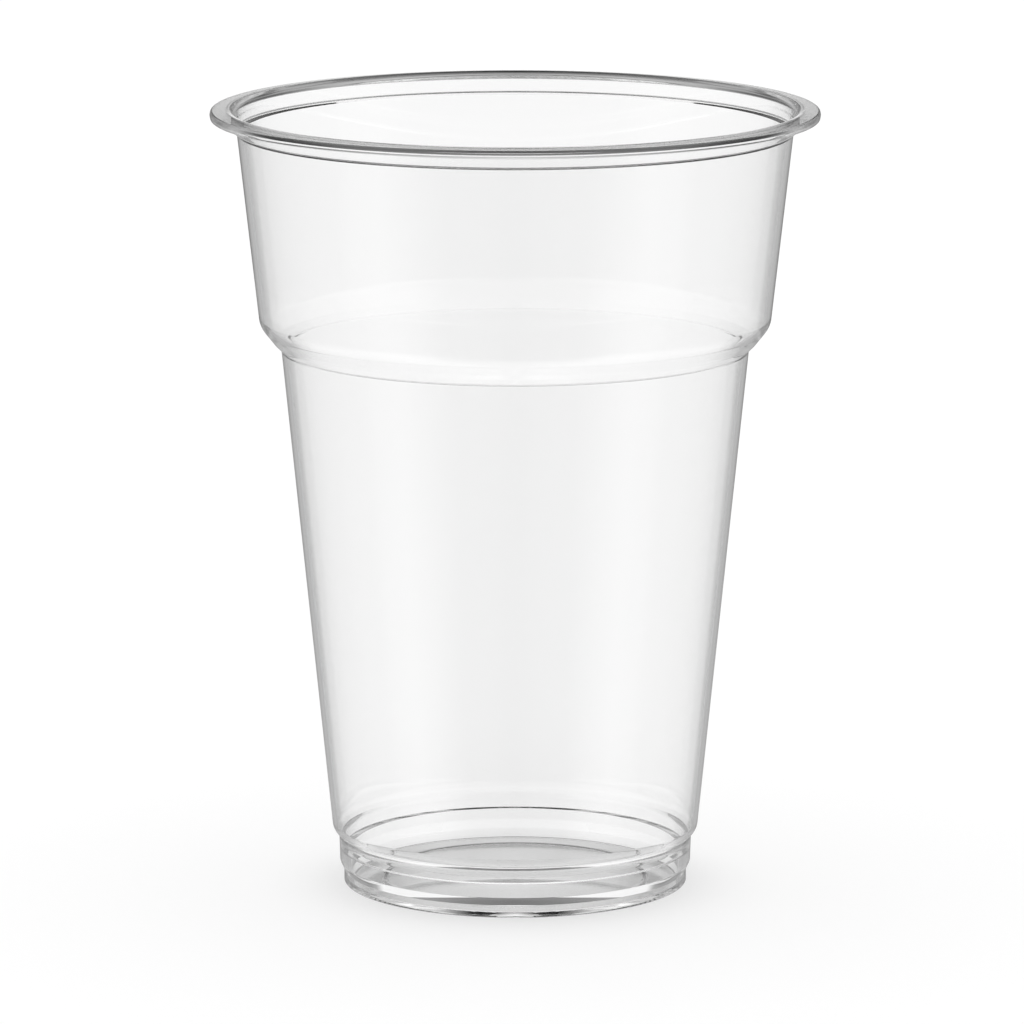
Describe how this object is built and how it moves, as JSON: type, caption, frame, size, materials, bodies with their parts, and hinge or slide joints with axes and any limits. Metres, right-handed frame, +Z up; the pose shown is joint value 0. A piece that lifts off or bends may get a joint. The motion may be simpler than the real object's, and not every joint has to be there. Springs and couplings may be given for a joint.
{
  "type": "reusable beer cup",
  "caption": "Clear plastic beer cup: flared wall with a rounded drinking lip, a bevelled shoulder and a stepped foot with a raised floor. It stands upright and holds a drink.",
  "frame": {"origin": "on the table, under the middle of the cup", "axes": "+Z up along the cup's axis, from the floor to the mouth; the cup is round, so +X and +Y are any two directions across it"},
  "size_m": [0.095, 0.095, 0.1229],
  "materials": {
    "clear_plastic": "clear, smooth and glossy, as moulded in a polished mould"
  },
  "bodies": {
    "root": {"cup": "clear_plastic"}
  },
  "joints": []
}
